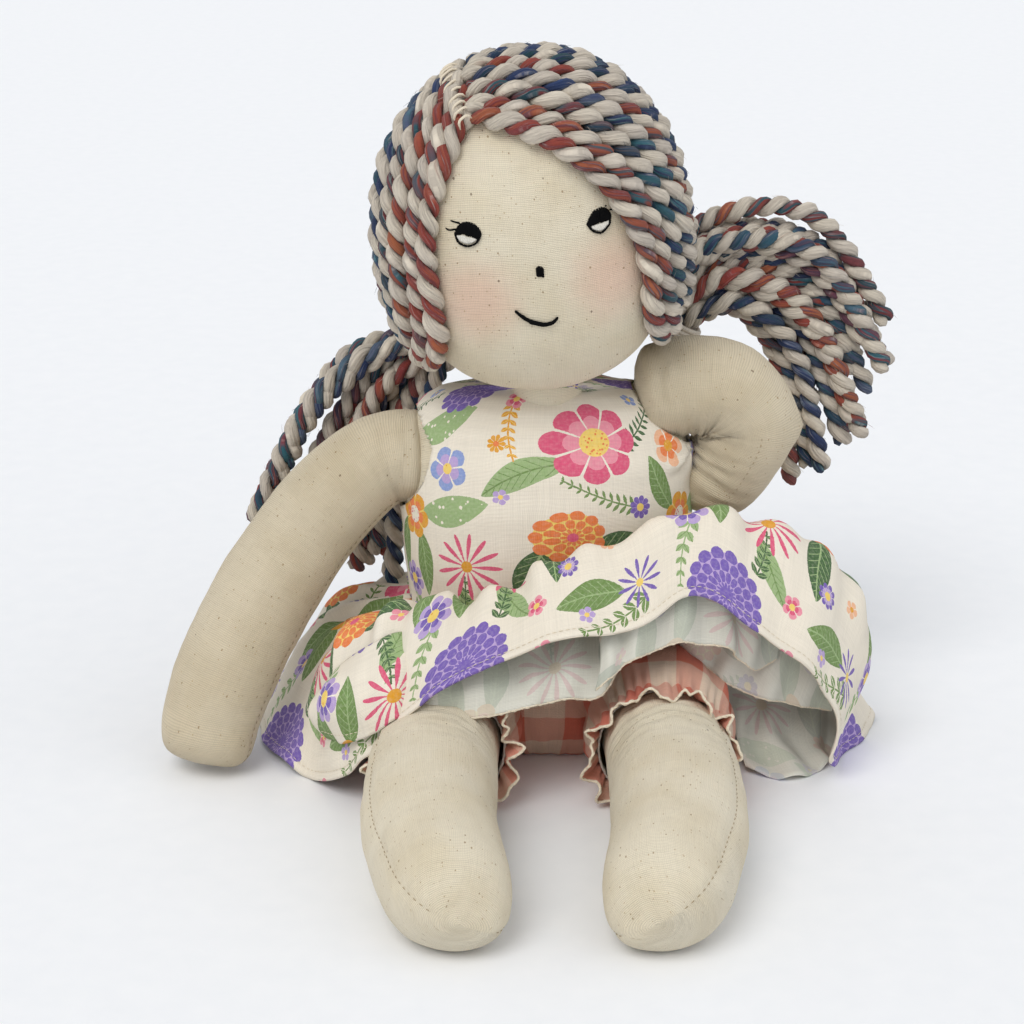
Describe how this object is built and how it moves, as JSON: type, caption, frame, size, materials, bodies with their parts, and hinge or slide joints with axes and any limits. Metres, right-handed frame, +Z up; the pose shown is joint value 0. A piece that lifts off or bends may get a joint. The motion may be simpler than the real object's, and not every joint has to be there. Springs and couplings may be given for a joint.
{
  "type": "rag doll",
  "caption": "Seated stuffed rag doll with thick yarn hair in two bunches, a sleeveless print dress and checked bloomers.",
  "frame": {"origin": "middle of the flat seat, on the surface that the doll sits on", "axes": "the doll faces -Y, +X is its own left side and +Z is up"},
  "size_m": [0.2884, 0.238, 0.2699],
  "materials": {
    "skin_cloth": "natural unbleached plain-weave cotton with dark flecks",
    "dress_cloth": "printed cotton twill, matt, cream ground with small flowers",
    "bloomers_cloth": "coral and cream checked cotton twill",
    "elastic": "narrow white elastic",
    "snap_metal": "small sewn-on press fasteners",
    "black_thread": "black satin-stitched embroidery thread",
    "white_thread": "white satin-stitched embroidery thread",
    "cream_thread": "cream sewing thread in a row over the part",
    "yarn": "very thick two-ply yarn, one ply cream and one that changes colour"
  },
  "bodies": {
    "torso": {"torso": "skin_cloth", "bloomers_seat": "bloomers_cloth", "bloomers_waist_elastic": "elastic", "dress_bodice_front": "dress_cloth", "dress_bodice_back_left": "dress_cloth", "dress_bodice_back_right": "dress_cloth", "dress_snap_low": "snap_metal", "dress_snap_middle": "snap_metal", "dress_snap_high": "snap_metal", "dress_skirt": "dress_cloth"},
    "head": {"head": "skin_cloth", "eye_left_black": "black_thread", "eye_right_black": "black_thread", "eye_left_white": "white_thread", "eye_right_white": "white_thread", "nose": "black_thread", "mouth": "black_thread", "hair_side_left": "yarn", "hair_side_right": "yarn", "hair_part_stitching": "cream_thread"},
    "arm_left": {"arm_left": "skin_cloth"},
    "arm_right": {"arm_right": "skin_cloth"},
    "leg_left": {"leg_left": "skin_cloth", "bloomers_leg_left": "bloomers_cloth", "cuff_elastic_left": "elastic"},
    "leg_right": {"leg_right": "skin_cloth", "bloomers_leg_right": "bloomers_cloth", "cuff_elastic_right": "elastic"},
    "bunch_left": {"bunch_left_tie": "elastic", "bunch_left_strand_1": "yarn", "bunch_left_strand_2": "yarn", "bunch_left_strand_3": "yarn", "bunch_left_strand_4": "yarn", "bunch_left_strand_5": "yarn", "bunch_left_strand_6": "yarn", "bunch_left_strand_7": "yarn", "bunch_left_strand_8": "yarn", "bunch_left_strand_9": "yarn", "bunch_left_strand_10": "yarn"},
    "bunch_right": {"bunch_right_tie": "elastic", "bunch_right_strand_1": "yarn", "bunch_right_strand_2": "yarn", "bunch_right_strand_3": "yarn", "bunch_right_strand_4": "yarn", "bunch_right_strand_5": "yarn", "bunch_right_strand_6": "yarn", "bunch_right_strand_7": "yarn", "bunch_right_strand_8": "yarn"}
  },
  "joints": [
    {"name": "head_tilt", "type": "hinge", "parent": "torso", "child": "head", "pos_m": [0, -0.002, 0.146], "axis": [0, 1, 0], "range_deg": [-6, 6]},
    {"name": "arm_left_swing", "type": "hinge", "parent": "torso", "child": "arm_left", "pos_m": [0.049, 0, 0.1385], "axis": [0, 1, 0], "range_deg": [-40, 0]},
    {"name": "arm_right_swing", "type": "hinge", "parent": "torso", "child": "arm_right", "pos_m": [-0.0549, 0, 0.115], "axis": [1, 0, 0], "range_deg": [-120, 0]},
    {"name": "leg_left_swing", "type": "hinge", "parent": "torso", "child": "leg_left", "pos_m": [0.042, -0.022, 0.0215], "axis": [1, 0, 0], "range_deg": [0, 90]},
    {"name": "leg_right_swing", "type": "hinge", "parent": "torso", "child": "leg_right", "pos_m": [-0.039, -0.022, 0.0215], "axis": [1, 0, 0], "range_deg": [0, 90]},
    {"name": "bunch_left_swing", "type": "hinge", "parent": "head", "child": "bunch_left", "pos_m": [0.044, 0.034, 0.158], "axis": [0, 1, 0], "range_deg": [-10, 25]},
    {"name": "bunch_right_swing", "type": "hinge", "parent": "head", "child": "bunch_right", "pos_m": [-0.0382, 0.034, 0.1558], "axis": [0, 1, 0], "range_deg": [0, 50]}
  ]
}
